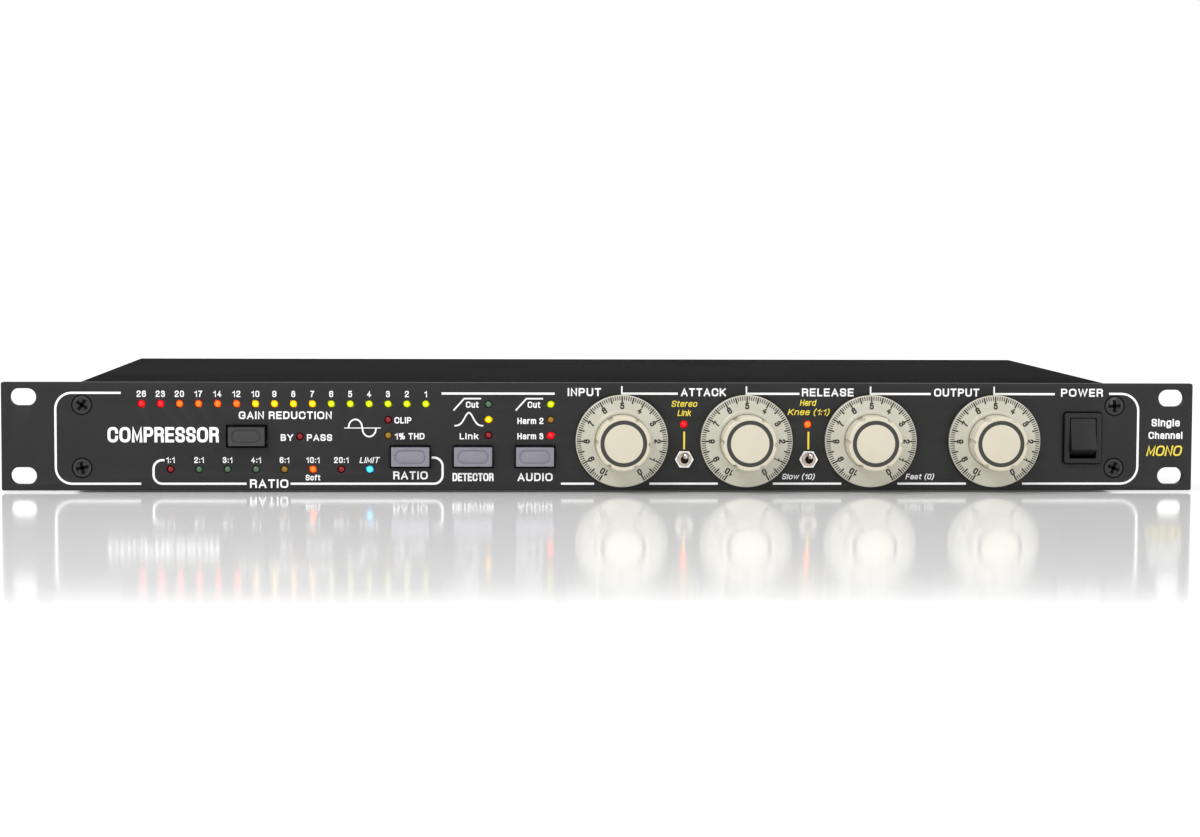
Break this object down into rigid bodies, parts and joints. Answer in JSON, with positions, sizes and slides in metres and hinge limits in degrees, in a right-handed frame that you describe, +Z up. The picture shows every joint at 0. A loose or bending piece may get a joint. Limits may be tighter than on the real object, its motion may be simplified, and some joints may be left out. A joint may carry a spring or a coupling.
{
  "type": "rack compressor",
  "caption": "One-unit rack audio compressor with skirted dial knobs, push buttons, toggles, LED rows, a power rocker and rear sockets.",
  "frame": {"origin": "centre of the four rack slots, on the back (mounting) face of the front panel", "axes": "+X right as seen from the front, the front faces -Y, +Z up"},
  "size_m": [0.4826, 0.2902, 0.0444],
  "materials": {
    "panel_paint": "fine satin powder coat, dark charcoal",
    "chassis_paint": "black powder coat",
    "black_screws": "black oxide",
    "zinc_screws": "zinc plated",
    "foot_rubber": "matt",
    "circuit_board": "solder mask",
    "black_plastic": "satin moulded",
    "gain_led_lens": "diffused lenses, red, orange, yellow and green, lit",
    "ratio_led_lens": "diffused lenses, mostly unlit",
    "status_led_lens": "diffused lenses, some lit",
    "pot_case": "moulded case",
    "nickel": "bright nickel",
    "gold_plate": "gold plated",
    "connector_shell": "black die-cast",
    "winding_wrap": "yellow polyester tape over copper windings",
    "capacitor_sleeve": "shrunk sleeve",
    "chip_epoxy": "moulded epoxy",
    "heat_sink_metal": "plain extrusion",
    "capacitor_box": "moulded box",
    "ribbon_sheath": "flat cable",
    "cable_sheath": "sheathed mains cable",
    "fuse_glass": "glass tube fuse",
    "dark_cap": "satin moulded",
    "grey_cap": "satin moulded, lavender grey",
    "skirt_plastic": "pale grey-green moulding, semi-gloss",
    "grip_plastic": "cream moulding, semi-gloss",
    "shaft_steel": "turned"
  },
  "bodies": {
    "chassis": {"front_panel": "panel_paint", "chassis_tray": "chassis_paint", "top_cover": "chassis_paint", "rear_panel": "chassis_paint", "panel_screws": "black_screws", "cover_screws": "black_screws", "rear_screws": "zinc_screws", "rubber_feet": "foot_rubber", "front_board": "circuit_board", "button_switches": "black_plastic", "gain_leds": "gain_led_lens", "ratio_leds": "ratio_led_lens", "status_leds": "status_led_lens", "pot_bodies": "pot_case", "panel_nuts": "nickel", "toggle_bodies": "nickel", "power_switch_housing": "black_plastic", "main_board": "circuit_board", "board_standoffs": "zinc_screws", "board_screws": "zinc_screws", "transformer": "winding_wrap", "transformer_clamp": "zinc_screws", "filter_capacitors": "capacitor_sleeve", "voltage_regulators": "chip_epoxy", "heat_sink": "heat_sink_metal", "integrated_circuits": "chip_epoxy", "film_capacitors": "capacitor_box", "ribbon_cable": "ribbon_sheath", "ribbon_connectors": "black_plastic", "xlr_input_shell": "connector_shell", "xlr_input_insert": "black_plastic", "xlr_output_shell": "connector_shell", "xlr_output_pins": "gold_plate", "jack_bodies": "black_plastic", "jack_nuts": "nickel", "mains_inlet": "black_plastic", "mains_inlet_pins": "nickel", "mains_cable": "cable_sheath"},
    "input_knob": {"input_knob_skirt": "skirt_plastic", "input_knob_grip": "grip_plastic", "input_shaft": "shaft_steel"},
    "attack_knob": {"attack_knob_skirt": "skirt_plastic", "attack_knob_grip": "grip_plastic", "attack_shaft": "shaft_steel"},
    "release_knob": {"release_knob_skirt": "skirt_plastic", "release_knob_grip": "grip_plastic", "release_shaft": "shaft_steel"},
    "output_knob": {"output_knob_skirt": "skirt_plastic", "output_knob_grip": "grip_plastic", "output_shaft": "shaft_steel"},
    "bypass_button": {"bypass_button": "dark_cap"},
    "ratio_button": {"ratio_button": "grey_cap"},
    "detector_button": {"detector_button": "grey_cap"},
    "audio_button": {"audio_button": "grey_cap"},
    "link_toggle": {"link_toggle_lever": "nickel"},
    "knee_toggle": {"knee_toggle_lever": "nickel"},
    "power_rocker": {"power_rocker": "black_plastic"},
    "fuse_drawer": {"fuse_drawer": "black_plastic", "fuse": "fuse_glass"},
    "xlr_latch": {"xlr_input_latch": "nickel"}
  },
  "joints": [
    {"name": "input_knob_turn", "type": "hinge", "parent": "chassis", "child": "input_knob", "pos_m": [0.0078, -0.0032, -0.0016], "axis": [0, 1, 0], "range_deg": [-150, 150]},
    {"name": "attack_knob_turn", "type": "hinge", "parent": "chassis", "child": "attack_knob", "pos_m": [0.0584, -0.0032, -0.0016], "axis": [0, 1, 0], "range_deg": [-150, 150]},
    {"name": "release_knob_turn", "type": "hinge", "parent": "chassis", "child": "release_knob", "pos_m": [0.109, -0.0032, -0.0016], "axis": [0, 1, 0], "range_deg": [-150, 150]},
    {"name": "output_knob_turn", "type": "hinge", "parent": "chassis", "child": "output_knob", "pos_m": [0.1596, -0.0032, -0.0016], "axis": [0, 1, 0], "range_deg": [-150, 150]},
    {"name": "bypass_button_press", "type": "slide", "parent": "chassis", "child": "bypass_button", "axis": [0, 1, 0], "range_m": [0, 0.002], "stiffness_N_per_m": 300, "springref_m": -0.003},
    {"name": "ratio_button_press", "type": "slide", "parent": "chassis", "child": "ratio_button", "axis": [0, 1, 0], "range_m": [0, 0.002], "stiffness_N_per_m": 300, "springref_m": -0.003},
    {"name": "detector_button_press", "type": "slide", "parent": "chassis", "child": "detector_button", "axis": [0, 1, 0], "range_m": [0, 0.002], "stiffness_N_per_m": 300, "springref_m": -0.003},
    {"name": "audio_button_press", "type": "slide", "parent": "chassis", "child": "audio_button", "axis": [0, 1, 0], "range_m": [0, 0.002], "stiffness_N_per_m": 300, "springref_m": -0.003},
    {"name": "link_toggle_flip", "type": "hinge", "parent": "chassis", "child": "link_toggle", "pos_m": [0.0332, -0.0034, -0.0091], "axis": [1, 0, 0], "range_deg": [0, 25]},
    {"name": "knee_toggle_flip", "type": "hinge", "parent": "chassis", "child": "knee_toggle", "pos_m": [0.0838, -0.0034, -0.0091], "axis": [1, 0, 0], "range_deg": [0, 25]},
    {"name": "power_rocker_tilt", "type": "hinge", "parent": "chassis", "child": "power_rocker", "pos_m": [0.19605, 0.001, -0.00037], "axis": [1, 0, 0], "range_deg": [0, 28]},
    {"name": "fuse_drawer_slide", "type": "slide", "parent": "chassis", "child": "fuse_drawer", "axis": [0, 1, 0], "range_m": [0, 0.014]},
    {"name": "xlr_latch_press", "type": "slide", "parent": "chassis", "child": "xlr_latch", "axis": [0, -1, 0], "range_m": [0, 0.0012], "stiffness_N_per_m": 600, "springref_m": -0.002}
  ]
}
